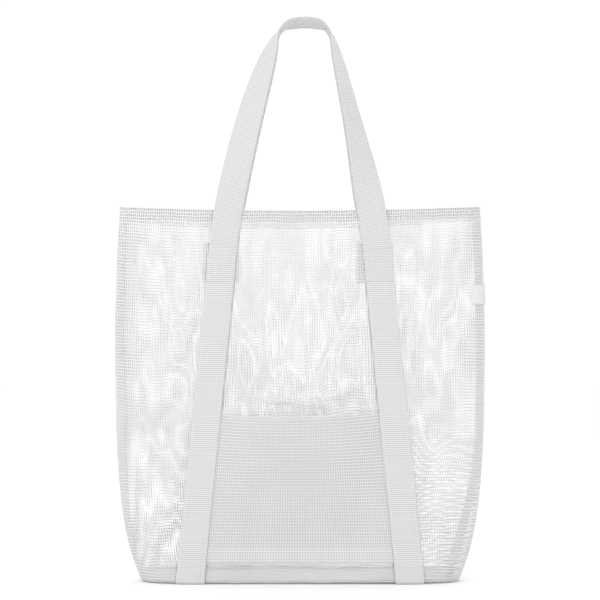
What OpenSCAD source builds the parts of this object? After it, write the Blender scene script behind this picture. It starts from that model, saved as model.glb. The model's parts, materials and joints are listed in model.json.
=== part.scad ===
// Open-topped mesh beach bag with webbing straps, two webbing handles and a patch pocket.
// Z is up, the front faces -Y, and the origin is under the middle of the bag, on the ground.

/* [Bag] */
// Height from the ground to the top edge of the mouth
bag_h = 397; // [360:1:430]
// Width at the widest level
bag_w = 396; // [360:1:430]
// Width along the bottom edge
bottom_w = 337; // [320:1:350]
// Width across the mouth
mouth_w = 384; // [360:1:390]
// Depth of the flat base, front to back
base_d = 68; // [60:1:80]
// Depth halfway up, where the sides draw in
waist_d = 56; // [52:1:70]
// Depth of the open mouth
mouth_d = 72; // [62:1:84]
// Thickness of the mesh cloth
cloth_t = 0.8; // [0.6:0.1:1]

/* [Webbing] */
// Width of the strap and handle webbing
web_w = 30; // [25:1:34]
// Thickness of the webbing
web_t = 1.6; // [1.2:0.1:2]
// Distance from the bag's middle to a strap where it crosses under the base
foot_x = 116; // [105:1:122]
// Distance from the bag's middle to a strap at its top stitch
stitch_x = 81; // [76:1:88]
// Height of the top stitch, where the strap ends and the handle swings
stitch_z = 355; // [345:1:360]

/* [Handles] */
// Height of the top of the handle arch
loop_top = 600; // [570:1:630]
// Distance from the bag's middle to the middle of the arch's webbing
arch_y = 17; // [16:1:22]
// Sideways lean of the arch
arch_lean = 3; // [0:1:6]

/* [Pocket] */
// Height of the pocket's folded top edge
pocket_top = 179; // [150:1:182]
// Height of the pocket's bottom edge
pocket_bottom = 22; // [18:1:40]
// How far the pocket mouth stands off the bag
pocket_gap = 8; // [6:1:9]
// Height of the hem along the pocket's bottom
pocket_hem = 16; // [10:1:20]

/* [Seams] */
// Height of the hem round the mouth
hem_h = 14.5; // [10:0.5:18]
// Width of a side binding, as seen from the front
side_band = 12.5; // [8:0.5:16]
// How far the right side seam wanders on to the front at the bottom
seam_drift = 14; // [0:1:16]
// Height of the binding along the bottom edges
base_band = 15; // [10:0.5:20]
// Width of a patch behind a top stitch
patch_w = 38; // [34:1:42]
// Height of a patch behind a top stitch
patch_h = 41; // [34:1:44]
// How far a patch and its box of stitches reach below the top stitch
patch_drop = 36; // [30:1:38]

/* [Label] */
// Height of the woven side label
label_h = 21; // [15:1:30]
// How far the label reaches in from the side seam, as seen from the front
label_reach = 14; // [10:1:20]
// Height of the label's middle
label_z = 306; // [200:1:330]

/* [Hidden] */

web_white = [0.93, 0.93, 0.92];
mesh_white = [0.96, 0.96, 0.95];
thread_white = [0.98, 0.98, 0.98];

skin_out = cloth_t / 2;
// Layers are measured outwards from the middle of the mesh cloth
lining = [-1.65, -0.85];
pocket_in = 0.6;
pocket_t = 1.2;
strap_low = 2.0;
strap_high = 0.8;
thread_t = 0.4;
thread_w = 0.8;
thread_rise = 0.1;
tuck = 8;
base_z = 2.2;
foot_r = 2.5;
base_run = web_t + foot_r;
edge_inset = 3;
swing_gap = 1.5;
belly_z = 230;
corner_rise = 60;
drift_top = 160;
seam_gap = 0.014;
cols = 48;
rows = 18;

function smooth(t) = let (s = min(1, max(0, t))) s * s * (3 - 2 * s);
function ramp(a, b, n) = [for (i = [0:n]) a + (b - a) * i / n];
// Heights that lie closer together towards the bottom, where the bag curves in most
function rising(a, b, n) = [for (i = [0:n]) a + (b - a) * pow(i / n, 1.6)];

// Half the width and half the depth of the bag at a height
function half_w(z) =
    bag_w / 2 - (bag_w - bottom_w) / 2 * exp(-z / corner_rise)
    - (bag_w - mouth_w) / 2 * pow(max(0, (z - belly_z) / (bag_h - belly_z)), 2);
function half_d(z) =
    let (t = z / bag_h, waist_in = (base_d + mouth_d) / 4 - waist_d / 2)
    ((1 - t) * base_d + t * mouth_d) / 2 - waist_in * sin(180 * t);
// How square the level section is: boxy at the base, a lens at the mouth
function squareness(z) = 2.7 + 5.3 * exp(-z / corner_rise);
function roundness(z) = 1.6 + 0.4 * exp(-z / corner_rise);

// A point of the level section at height z. u is 0 at the front, 1 at the right seam, 2 at the back
function section(u, z) =
    let (s = sin(90 * u), side = cos(90 * u) < 0 ? 1 : -1)
    [half_w(z) * s, side * half_d(z) * pow(max(0, 1 - pow(abs(s), squareness(z))), 1 / roundness(z))];
function outward(u, z) =
    let (e = 0.01, t = section(u + e, z) - section(u - e, z))
    [t.y, -t.x] / norm(t);
function skin(u, z, off) =
    let (p = section(u, z) + outward(u, z) * off) [p.x, p.y, z];
function u_at(x, z) = asin(max(-1, min(1, x / half_w(z)))) / 90;

// Where the right side seam runs: up the side, but on the front near the bottom
function seam_x(z) = half_w(z) - seam_drift * (1 - smooth(z / drift_top));
function seam_u(z) = u_at(seam_x(z), z);
// Moves u = 1 on to that seam, and fades to no move at the front and back middles
function to_seam(u, z) = u <= 0 || u >= 2 ? u : u - (1 - seam_u(z)) * pow(sin(90 * u), 2);

// The x of a right-hand strap's middle at a height, and how far its inner face stands off the cloth
function strap_x(z) = foot_x - (foot_x - stitch_x) * z / stitch_z;
function strap_off(z) = strap_low + (strap_high - strap_low) * smooth((z - pocket_top - 6) / 30);

// A closed slab between two grids of points
module slab(inner, outer) {
    r = len(inner) - 1;
    c = len(inner[0]) - 1;
    n = (r + 1) * (c + 1);
    function at(i, j, far) = i * (c + 1) + j + (far ? n : 0);
    function quad(p, q, s, t) = [[p, s, q], [p, t, s]];
    flat_faces = [for (i = [0:r - 1], j = [0:c - 1]) each concat(
        quad(at(i, j, false), at(i + 1, j, false), at(i + 1, j + 1, false), at(i, j + 1, false)),
        quad(at(i, j, true), at(i, j + 1, true), at(i + 1, j + 1, true), at(i + 1, j, true)))];
    side_faces = [for (i = [0:r - 1]) each concat(
        quad(at(i, 0, false), at(i, 0, true), at(i + 1, 0, true), at(i + 1, 0, false)),
        quad(at(i, c, true), at(i, c, false), at(i + 1, c, false), at(i + 1, c, true)))];
    end_faces = [for (j = [0:c - 1]) each concat(
        quad(at(0, j, true), at(0, j, false), at(0, j + 1, false), at(0, j + 1, true)),
        quad(at(r, j, false), at(r, j, true), at(r, j + 1, true), at(r, j + 1, false)))];
    polyhedron([each [for (row = inner) each row], each [for (row = outer) each row]],
        concat(flat_faces, side_faces, end_faces), convexity = 6);
}

// A layer of cloth on the bag between two heights, with its edges given in u at each height
module layer(zs, left, right, n, near, far) {
    slab([for (z = zs) [for (u = ramp(left(z), right(z), n)) skin(u, z, near)]],
        [for (z = zs) [for (u = ramp(left(z), right(z), n)) skin(u, z, far)]]);
}

module to_back() mirror([0, 1, 0]) children();
module to_left() mirror([1, 0, 0]) children();

// The mesh from one side seam to the other
module panel(left, right) {
    zs = rising(base_z, bag_h, rows);
    us = ramp(left + seam_gap, right - seam_gap, cols);
    slab([for (z = zs) [for (u = us) skin(to_seam(u, z), z, -skin_out)]],
        [for (z = zs) [for (u = us) skin(to_seam(u, z), z, skin_out)]]);
}

module front_panel() color(mesh_white) panel(-1, 1);
module back_panel() color(mesh_white) panel(1, 3);

module base_panel() {
    color(mesh_white) translate([0, 0, base_z]) linear_extrude(cloth_t)
        polygon([for (u = ramp(-1, 3, 96)) if (u < 3) let (p = skin(u, base_z, -0.75)) [p.x, p.y]]);
}

// The bound seam allowance inside a side seam, pressed on to the front
module side_binding(seam) {
    layer(rising(base_z + base_band + 2.5, bag_h - hem_h - 0.5, rows),
        function(z) u_at(seam(z) - side_band, z), function(z) u_at(seam(z), z) - 2 * seam_gap,
        6, lining[0], lining[1]);
}

module left_side_binding() color(mesh_white) to_left() side_binding(function(z) half_w(z));
module right_side_binding() color(mesh_white) side_binding(function(z) seam_x(z));

module base_binding() {
    edge = function(z) 0.94;
    layer(ramp(base_z + 1.2, base_z + base_band, 2), function(z) -edge(z), edge, cols, lining[0], lining[1]);
}

module front_base_binding() color(mesh_white) base_binding();
module back_base_binding() color(mesh_white) to_back() base_binding();

module top_hem() {
    edge = function(z) 0.96;
    layer(ramp(bag_h - hem_h, bag_h, 2), function(z) -edge(z), edge, cols, lining[0], lining[1]);
}

module front_top_hem() color(mesh_white) top_hem();
module back_top_hem() color(mesh_white) to_back() top_hem();

// One row of thread along the bottom of a hem, inside the bag
module hem_thread() {
    z = bag_h - hem_h + 1.5;
    edge = function(z) 0.95;
    layer([z, z + thread_w], function(z) -edge(z), edge, cols,
        lining[0] - thread_rise - thread_t, lining[0] - thread_rise);
}

module front_hem_stitching() color(thread_white) hem_thread();
module back_hem_stitching() color(thread_white) to_back() hem_thread();

// The pocket is a folded piece of mesh whose sides are caught under the straps
function pocket_edge(z) = strap_x(z) - web_w / 2 + tuck;
function pocket_puff(u, z) =
    let (across = u / u_at(pocket_edge(z) - tuck - 1, z))
    pocket_gap * max(0, 1 - across * across) * smooth((z - 70) / (pocket_top - 70));

module pocket_layer(z0, z1, n, near, far) {
    zs = ramp(z0, z1, n);
    edge = function(z) u_at(pocket_edge(z), z);
    slab([for (z = zs) [for (u = ramp(-edge(z), edge(z), 18)) skin(u, z, near + pocket_puff(u, z))]],
        [for (z = zs) [for (u = ramp(-edge(z), edge(z), 18)) skin(u, z, far + pocket_puff(u, z))]]);
}

module pocket_panel() {
    color(mesh_white)
        pocket_layer(pocket_bottom + pocket_hem + 0.4, pocket_top, 12, pocket_in, pocket_in + pocket_t);
}

module pocket_bottom_hem() {
    color(mesh_white)
        pocket_layer(pocket_bottom, pocket_bottom + pocket_hem, 2, pocket_in, pocket_in + pocket_t);
}

// Two rows of thread along the pocket's bottom hem, between the straps
module pocket_stitching() {
    edge = function(z) u_at(strap_x(z) - web_w / 2 - 2, z);
    near = pocket_in + pocket_t + thread_rise;
    color(thread_white) for (z = [pocket_bottom + 2, pocket_bottom + pocket_hem - 3])
        layer([z, z + thread_w], function(z) -edge(z), edge, 18, near, near + thread_t);
}

// A strap's cross points at a height on the front, from its inner face outwards by t
function strap_row(z, t) = [for (k = [-1:1])
    skin(u_at(strap_x(z) + k * web_w / 2, z), z, strap_off(z) + t)];
// The same points where the strap turns under the bottom edge
function foot_row(turn, t) = [for (k = [-1:1])
    let (p = skin(u_at(strap_x(base_run) + k * web_w / 2, base_run), base_run, strap_off(base_run)))
    [p.x, p.y + foot_r - (foot_r + t) * cos(turn), base_run - (foot_r + t) * sin(turn)]];
function half_strap(t) = concat(
    [for (z = ramp(stitch_z - swing_gap, base_run, 18)) strap_row(z, t)],
    [for (turn = [18:18:90]) foot_row(turn, t)]);
function flipped(rows_in) = [for (i = [len(rows_in) - 1:-1:0]) [for (p = rows_in[i]) [p.x, -p.y, p.z]]];
function whole_strap(t) = let (half = half_strap(t)) concat(half, flipped(half));

module strap() slab(whole_strap(web_t), whole_strap(0));

module left_strap() color(web_white) to_left() strap();
module right_strap() color(web_white) strap();

// Rows of thread along both edges of both faces of a strap
module strap_threads() {
    near = web_t + thread_rise;
    for (k = [-1, 1]) {
        middle = function(z) strap_x(z) + k * (web_w / 2 - edge_inset);
        line = function(z, w, t) skin(u_at(middle(z) + w, z), z, strap_off(z) + t);
        zs = ramp(base_run + 4, stitch_z - 16, 14);
        slab([for (z = zs) [for (w = [-1, 1]) line(z, w * thread_w / 2, near)]],
            [for (z = zs) [for (w = [-1, 1]) line(z, w * thread_w / 2, near + thread_t)]]);
    }
}

module strap_stitching() {
    strap_threads();
    to_back() strap_threads();
}

module left_strap_stitching() color(thread_white) to_left() strap_stitching();
module right_strap_stitching() color(thread_white) strap_stitching();

// A patch inside the cloth that backs a top stitch
module patch() {
    z0 = stitch_z - patch_drop;
    middle = strap_x(stitch_z - 6);
    layer([z0, z0 + patch_h / 2, z0 + patch_h], function(z) u_at(middle - patch_w / 2, z),
        function(z) u_at(middle + patch_w / 2, z), 4, lining[0], lining[1]);
}

module front_left_patch() color(mesh_white) to_left() patch();
module front_right_patch() color(mesh_white) patch();
module back_left_patch() color(mesh_white) to_left() to_back() patch();
module back_right_patch() color(mesh_white) to_back() patch();

// Two rows of thread across a strap: one near its top and one at the patch's bottom
module anchor() {
    near = web_t + thread_rise;
    for (z = [stitch_z - 4, stitch_z - patch_drop + 1])
        slab([for (w = [0, 1]) [for (x = ramp(-11, 11, 2))
                skin(u_at(strap_x(z) + x, z), z + w * thread_w, strap_off(z) + near)]],
            [for (w = [0, 1]) [for (x = ramp(-11, 11, 2))
                skin(u_at(strap_x(z) + x, z), z + w * thread_w, strap_off(z) + near + thread_t)]]);
}

module front_left_anchor_stitch() color(thread_white) to_left() anchor();
module front_right_anchor_stitch() color(thread_white) anchor();
module back_left_anchor_stitch() color(thread_white) to_left() to_back() anchor();
module back_right_anchor_stitch() color(thread_white) to_back() anchor();

// The handle's right leg and half arch are two cubic curves in [x, z]
leg = [[stitch_x, stitch_z + swing_gap], [stitch_x - 6, bag_h + 3], [56, 485], [42, 538]];
arch = [[42, 538], [36, 561], [34, loop_top - web_t / 2], [0, loop_top - web_t / 2]];
function bezier(c, t) =
    pow(1 - t, 3) * c[0] + 3 * t * pow(1 - t, 2) * c[1] + 3 * t * t * (1 - t) * c[2] + pow(t, 3) * c[3];
half_route = concat([for (t = ramp(0, 1, 20)) bezier(leg, t)], [for (i = [1:20]) bezier(arch, i / 20)]);
turn_z = 432;
root_turn = 4.6;
root_face = section(u_at(stitch_x, stitch_z), stitch_z).y;
hem_face = section(u_at(stitch_x - 6, bag_h), bag_h).y;
handle_off = strap_high + web_t / 2 + 0.3;

// The route's depth: flat on the bag up to the hem, then leaning in to the arch
function route_y(z) = z < bag_h
    ? root_face - handle_off + (hem_face - root_face) * (z - stitch_z) / (bag_h - stitch_z)
    : hem_face - handle_off + (-arch_y - hem_face + handle_off) * smooth((z - bag_h) / (loop_top - bag_h));
function route_point(p, side) =
    let (rise = (p[1] - stitch_z) / (loop_top - stitch_z))
    [side * p[0] + arch_lean * rise * rise, route_y(p[1]), p[1]];
route = concat([for (p = half_route) route_point(p, -1)],
    [for (i = [len(half_route) - 2:-1:0]) route_point(half_route[i], 1)]);
function unit(v) = v / norm(v);
function along(i) = unit(route[min(i + 1, len(route) - 1)] - route[max(i - 1, 0)]);
// The webbing turns a quarter turn from flat on the bag to level at the arch, inner edge forwards
function turn_at(z) = root_turn + (90 - root_turn) * min(1, max(0, (z - turn_z) / (loop_top - 4 - turn_z)));
function inner_edge(i) =
    let (t = along(i), inward = unit([t.z, 0, -t.x]), a = turn_at(route[i].z))
    inward * cos(a) + [0, -sin(a), 0];
function handle_row(i, t) =
    let (across = inner_edge(i), face = unit(cross(across, along(i))))
    [for (k = [1, -1]) route[i] + across * k * web_w / 2 + face * t];

module handle() {
    n = len(route) - 1;
    slab([for (i = [0:n]) handle_row(i, web_t / 2)], [for (i = [0:n]) handle_row(i, -web_t / 2)]);
}

module front_handle() color(web_white) handle();
module back_handle() color(web_white) to_back() handle();

// A small blank label caught in the right side seam and lying on the front
module side_label() {
    color(thread_white)
        layer(ramp(label_z - label_h / 2, label_z + label_h / 2, 4),
            function(z) u_at(half_w(label_z) - label_reach, label_z), function(z) 0.985, 8, 0.9, 1.5);
}

front_panel();
back_panel();
base_panel();
left_side_binding();
right_side_binding();
front_base_binding();
back_base_binding();
front_top_hem();
back_top_hem();
front_hem_stitching();
back_hem_stitching();
pocket_panel();
pocket_bottom_hem();
pocket_stitching();
left_strap();
right_strap();
left_strap_stitching();
right_strap_stitching();
front_left_patch();
front_right_patch();
back_left_patch();
back_right_patch();
front_left_anchor_stitch();
front_right_anchor_stitch();
back_left_anchor_stitch();
back_right_anchor_stitch();
front_handle();
back_handle();
side_label();
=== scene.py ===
"""Builds the looks of an open-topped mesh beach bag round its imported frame.

Every length is in metres, in the frame's own axes: +Z up, the front faces -Y.
"""

import json
import logging
import math
from dataclasses import dataclass, field
from enum import Enum
from typing import Callable

import bpy
import numpy as np
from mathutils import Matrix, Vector


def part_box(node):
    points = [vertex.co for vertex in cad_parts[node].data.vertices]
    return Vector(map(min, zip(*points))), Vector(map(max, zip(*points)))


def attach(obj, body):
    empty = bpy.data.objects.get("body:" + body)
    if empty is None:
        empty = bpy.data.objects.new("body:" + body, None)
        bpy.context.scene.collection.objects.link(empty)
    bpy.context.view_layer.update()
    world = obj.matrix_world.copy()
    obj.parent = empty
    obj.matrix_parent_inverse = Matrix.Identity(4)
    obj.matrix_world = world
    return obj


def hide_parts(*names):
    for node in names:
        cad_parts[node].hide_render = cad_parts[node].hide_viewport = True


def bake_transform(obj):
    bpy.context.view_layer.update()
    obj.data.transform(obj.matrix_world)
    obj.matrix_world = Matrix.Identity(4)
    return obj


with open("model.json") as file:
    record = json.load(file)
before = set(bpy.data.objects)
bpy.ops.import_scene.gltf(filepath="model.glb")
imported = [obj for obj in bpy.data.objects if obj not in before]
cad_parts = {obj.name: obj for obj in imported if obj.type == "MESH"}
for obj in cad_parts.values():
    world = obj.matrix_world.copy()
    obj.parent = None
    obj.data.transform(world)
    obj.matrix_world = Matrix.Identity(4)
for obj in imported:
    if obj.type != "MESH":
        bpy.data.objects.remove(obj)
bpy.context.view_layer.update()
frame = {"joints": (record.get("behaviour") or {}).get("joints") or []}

LOG = logging.getLogger("beach_bag")
Array = np.ndarray
Placer = Callable[[Array, Array], Array]
Piece = bpy.types.Object
Tree = bpy.types.NodeTree
Node = bpy.types.Node
Socket = bpy.types.NodeSocket


def smooth(t: Array | float) -> Array:
    """Returns t eased in and out between 0 and 1."""
    s = np.clip(t, 0.0, 1.0)
    return s * s * (3.0 - 2.0 * s)


def unit(v: Array) -> Array:
    """Returns vectors scaled to length 1, along the last axis."""
    return v / np.maximum(np.linalg.norm(v, axis=-1, keepdims=True), 1e-12)


def deselect() -> None:
    """Leaves edit mode and clears the selection."""
    if bpy.context.object and bpy.context.object.mode != "OBJECT":
        bpy.ops.object.mode_set(mode="OBJECT")
    bpy.ops.object.select_all(action="DESELECT")


def make_active(piece: Piece) -> None:
    """Selects one object and makes it active."""
    deselect()
    piece.select_set(True)
    bpy.context.view_layer.objects.active = piece


def apply_modifiers(piece: Piece) -> None:
    """Applies every modifier on a piece."""
    make_active(piece)
    for modifier in list(piece.modifiers):
        bpy.ops.object.modifier_apply(modifier=modifier.name)


def points_of(mesh: bpy.types.Mesh) -> Array:
    """Returns the places of a mesh's vertices."""
    points = np.empty(len(mesh.vertices) * 3, np.float32)
    mesh.vertices.foreach_get("co", points)
    return points.reshape(-1, 3).astype(float)


def move_points(mesh: bpy.types.Mesh, points: Array) -> None:
    """Moves a mesh's vertices to points."""
    mesh.vertices.foreach_set("co", points.astype(np.float32).ravel())


def smooth_all(piece: Piece) -> None:
    """Shades every face of a piece smooth."""
    piece.data.polygons.foreach_set("use_smooth", [True] * len(piece.data.polygons))


def mesh_from(name: str, points: Array, faces: list, uv: Array | None = None) -> Piece:
    """Makes a piece from points and faces.

    Args:
        name: The piece's name.
        points: Its vertices.
        faces: Vertex numbers of each face, counter-clockwise from outside.
        uv: The UV place of each vertex, if a pattern follows the surface.

    Returns:
        The new object, in the scene.
    """
    mesh = bpy.data.meshes.new(name)
    mesh.from_pydata(points.tolist(), [], faces)
    if uv is not None:
        corner_vertex = np.empty(len(mesh.loops), int)
        mesh.loops.foreach_get("vertex_index", corner_vertex)
        layer = mesh.uv_layers.new(name="weave")
        layer.data.foreach_set("uv", uv[corner_vertex].astype(np.float32).ravel())
    mesh.validate()
    piece = bpy.data.objects.new(name, mesh)
    bpy.context.scene.collection.objects.link(piece)
    return piece


def face_outwards(piece: Piece) -> None:
    """Turns a closed piece's faces outwards, by operator."""
    make_active(piece)
    bpy.ops.object.mode_set(mode="EDIT")
    bpy.ops.mesh.select_all(action="SELECT")
    bpy.ops.mesh.normals_make_consistent(inside=False)
    bpy.ops.object.mode_set(mode="OBJECT")


class Side(Enum):
    """The left or right half of the bag, as seen from the front."""

    LEFT = -1
    RIGHT = 1

    @property
    def word(self) -> str:
        """The side's name in pieces' names."""
        return self.name.lower()


class Face(Enum):
    """The front or back of the bag."""

    FRONT = "front"
    BACK = "back"

    @property
    def y_sign(self) -> int:
        """Which way the face looks along Y."""
        return -1 if self is Face.FRONT else 1


@dataclass(frozen=True)
class BagForm:
    """The outer form of the bag: its half width, half depth and squareness at each height."""

    height: float
    belly: float
    bottom: float
    mouth: float
    base_half: float
    mouth_half: float
    waist_in: float
    base_z: float
    corner_rise: float = 0.060
    belly_z: float = 0.230
    seam_drift: float = 0.014
    drift_top: float = 0.160
    mouth_square: float = 2.7
    base_square: float = 8.0
    mouth_round: float = 1.6
    base_round: float = 2.0

    @classmethod
    def from_frame(cls) -> "BagForm":
        """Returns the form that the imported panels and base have."""
        half_cloth, base_edge, mouth_draw = 0.0004, 0.00075, 0.006
        depth_slack, waist_in, mouth_over_base = 0.0001, 0.007, 0.002
        panel_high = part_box("front_panel")[1]
        base_low, base_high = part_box("base_panel")
        belly = panel_high[0] - half_cloth + 0.0006
        at_base = base_high[0] + base_edge
        bottom = belly - (belly - at_base) * math.exp(base_low[2] / cls.corner_rise)
        base_half = base_high[1] + base_edge + depth_slack
        return cls(
            height=panel_high[2],
            belly=belly,
            bottom=bottom,
            mouth=belly - mouth_draw,
            base_half=base_half,
            mouth_half=base_half + mouth_over_base,
            waist_in=waist_in,
            base_z=base_low[2],
        )

    def half_width(self, z: Array) -> Array:
        """Returns half the bag's width at height z."""
        corner = (self.belly - self.bottom) * np.exp(-z / self.corner_rise)
        rise = np.maximum(0.0, (z - self.belly_z) / (self.height - self.belly_z))
        return self.belly - corner - (self.belly - self.mouth) * rise**2

    def half_depth(self, z: Array) -> Array:
        """Returns half the bag's depth at height z."""
        t = z / self.height
        return (1 - t) * self.base_half + t * self.mouth_half - self.waist_in * np.sin(np.pi * t)

    def section(self, u: Array, z: Array) -> Array:
        """Returns points of the level section: u is 0 in front, 1 at the right and 2 behind."""
        fall = np.exp(-z / self.corner_rise)
        square = self.mouth_square + (self.base_square - self.mouth_square) * fall
        power = self.mouth_round + (self.base_round - self.mouth_round) * fall
        s, c = np.sin(np.pi / 2 * u), np.cos(np.pi / 2 * u)
        deep = np.maximum(0.0, 1 - np.abs(s) ** square) ** (1 / power)
        return np.stack([self.half_width(z) * s, -np.sign(c) * self.half_depth(z) * deep], axis=-1)

    def outward(self, u: Array, z: Array) -> Array:
        """Returns the level direction out of the bag at u and z."""
        step = 0.01
        t = self.section(u + step, z) - self.section(u - step, z)
        return unit(np.stack([t[..., 1], -t[..., 0]], axis=-1))

    def skin(self, u: Array, z: Array, off: Array | float) -> Array:
        """Returns points that stand off the middle of the cloth at u and z."""
        u, z, off = np.broadcast_arrays(u, z, off)
        level = self.section(u, z) + self.outward(u, z) * off[..., None]
        return np.concatenate([level, z[..., None]], axis=-1)

    def u_at(self, x: Array, z: Array) -> Array:
        """Returns the u on the front that lies at x."""
        return np.arcsin(np.clip(x / self.half_width(z), -1, 1)) / (np.pi / 2)

    def seam_x(self, z: Array) -> Array:
        """Returns where the right side seam runs: on to the front near the bottom."""
        return self.half_width(z) - self.seam_drift * (1 - smooth(z / self.drift_top))

    def to_seam(self, u: Array, z: Array) -> Array:
        """Returns u moved so that 1 lies on the right side seam."""
        drift = (1 - self.u_at(self.seam_x(z), z)) * np.sin(np.pi / 2 * u) ** 2
        return np.where((u <= 0) | (u >= 2), u, u - drift)


@dataclass
class Panel:
    """One panel's cloth from seam to seam, with the folds that it settles into."""

    form: BagForm
    face: Face
    sag: float
    seed: int
    levels: int = 60
    steps: int = 241
    coarse: tuple[int, int] = (88, 88)
    most: float = 0.0050
    strain: float = 0.0013
    corner_lift: float = 0.0025
    skew: float = 0.020
    wave_count: int = 22
    wave_spread: tuple[float, float] = (8.5, 2.4)
    start_waves: int = 7
    start_lift: float = 0.0009
    table: Array = field(init=False)
    girth: Array = field(init=False)
    zs: Array = field(init=False)
    folds: Array = field(init=False)
    waves: Array = field(init=False)

    def __post_init__(self) -> None:
        """Tabulates the panel by its arc length at each height."""
        form = self.form
        self.zs = np.linspace(0.0, form.height + 0.004, self.levels)
        ends = (-1.0, 1.0) if self.face is Face.FRONT else (1.0, 3.0)
        u = np.linspace(*ends, 801)[None, :]
        z = self.zs[:, None]
        place = form.to_seam(u, z)
        run = np.linalg.norm(np.diff(form.section(place, z), axis=1), axis=-1)
        arc = np.concatenate([np.zeros((self.levels, 1)), np.cumsum(run, axis=1)], axis=1)
        self.girth = arc[:, -1]
        shares = np.linspace(0, 1, self.steps)
        self.table = np.array(
            [np.interp(shares, arc[i] / arc[i, -1], place[i]) for i in range(self.levels)]
        )
        self.folds = np.zeros((self.coarse[1] + 1, self.coarse[0] + 1, 3))
        rng = np.random.default_rng(self.seed + 100)
        spreads = [rng.normal(0, spread, self.wave_count) for spread in self.wave_spread]
        phases = [rng.uniform(0, 6.28, self.wave_count) for _ in range(2)]
        self.waves = np.stack(spreads + phases)

    def strained(self, share: Array, z: Array) -> tuple[Array, Array]:
        """Returns a place in the cloth moved by the small in-plane pulls that it has taken on."""
        up = z / self.form.height
        across, along, first, second = (row.reshape(-1, *[1] * share.ndim) for row in self.waves)
        phase = 2 * np.pi * (across * share + along * up)
        calm = np.sin(np.pi * np.clip(share, 0, 1)) ** 0.5 * np.sin(np.pi * np.clip(up, 0, 1)) ** 0.5
        reach = self.strain / math.sqrt(self.wave_count / 2) * calm
        girth = float(self.girth.mean())
        drawn = reach * np.sin(phase + first).sum(axis=0) - self.skew * calm * (z - self.form.height / 2)
        raised = reach * np.sin(phase + second).sum(axis=0) + self.skew * calm * (share - 0.5) * girth
        return share + drawn / girth, z + raised

    @staticmethod
    def _sample(grid: Array, x: Array, y: Array) -> Array:
        """Returns a grid's values at fractional places, x along columns and y along rows."""
        rows, cols = grid.shape[:2]
        x, y = np.clip(x, 0, 1) * (cols - 1), np.clip(y, 0, 1) * (rows - 1)
        i, j = np.minimum(y.astype(int), rows - 2), np.minimum(x.astype(int), cols - 2)
        fy, fx = y - i, x - j
        if grid.ndim == 3:
            fx, fy = fx[..., None], fy[..., None]
        low = grid[i, j] * (1 - fx) + grid[i, j + 1] * fx
        high = grid[i + 1, j] * (1 - fx) + grid[i + 1, j + 1] * fx
        return low * (1 - fy) + high * fy

    def u(self, share: Array, z: Array) -> Array:
        """Returns the u at a share of the way across, by arc length."""
        return self._sample(self.table, share, z / self.zs[-1])

    def place(self, share: Array, z: Array, off: Array | float) -> Array:
        """Returns points on the settled panel, standing off its middle."""
        share, z, off = np.broadcast_arrays(share, z, off)
        share, z = self.strained(share, z)
        points = self.form.skin(self.u(share, z), z, off)
        points = points + self._sample(self.folds, share, z / self.form.height)
        droop = self.sag * 4 * share * (1 - share) - self.corner_lift
        points[..., 2] -= droop * smooth(z / self.form.height) ** 3
        return points

    def settle(self, pins: Callable[[Array, Array], Array], frames: int = 22) -> None:
        """Lets the panel's cloth settle between its seams and straps.

        Args:
            pins: Gives 1 where a point of the panel is held, from its points and heights.
            frames: How long the cloth moves.
        """
        cols, rows = self.coarse
        levels = np.linspace(0, 1, rows + 1) * self.form.height
        share, z = np.meshgrid(np.linspace(0, 1, cols + 1), levels)
        rest = self.form.skin(self.u(share, z), z, 0.0)
        held = pins(rest, z)
        held[:, [0, -1]] = 1.0
        rng = np.random.default_rng(self.seed)
        start = rest.copy()
        for _ in range(self.start_waves):
            fx, fz, turn, phase = rng.uniform([3, 1, -0.6, 0], [9, 4, 0.6, 6.28])
            wave = np.sin(2 * np.pi * (fx * share + (fz + turn) * z / self.form.height) + phase)
            start[..., 1] += self.start_lift * wave * (1 - held)
        start = self._simulate(start, held, frames)
        moved = (start - rest) * (1 - held)[..., None]
        length = np.linalg.norm(moved, axis=-1, keepdims=True)
        self.folds = moved * np.minimum(1.0, self.most / np.maximum(length, 1e-9))
        LOG.info("%s folds: mean %.5f m, most %.5f m", self.face.value, length.mean(), length.max())

    def _simulate(self, start: Array, held: Array, frames: int) -> Array:
        """Returns the grid's points after a cloth simulation."""
        deselect()
        rows, cols = start.shape[:2]
        bpy.ops.mesh.primitive_grid_add(x_subdivisions=cols - 1, y_subdivisions=rows - 1, size=1)
        toile = bpy.context.object
        move_points(toile.data, start)
        toile.data.update()
        group = toile.vertex_groups.new(name="held")
        for index, weight in enumerate(held.ravel()):
            if weight > 0:
                group.add([index], float(weight), "REPLACE")
        cloth = toile.modifiers.new("cloth", "CLOTH")
        settings = {
            "vertex_group_mass": "held",
            "quality": 5,
            "mass": 0.05,
            "tension_stiffness": 12,
            "compression_stiffness": 12,
            "shear_stiffness": 3,
            "bending_stiffness": 0.6,
            "air_damping": 2,
            "shrink_min": -0.012,
        }
        for name, value in settings.items():
            setattr(cloth.settings, name, value)
        cloth.collision_settings.use_collision = False
        scene = bpy.context.scene
        for number in range(1, frames + 1):
            scene.frame_set(number)
        settled = toile.evaluated_get(bpy.context.evaluated_depsgraph_get())
        points = points_of(settled.data)
        bpy.data.objects.remove(toile, do_unlink=True)
        scene.frame_set(1)
        return points.reshape(rows, cols, 3)


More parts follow.
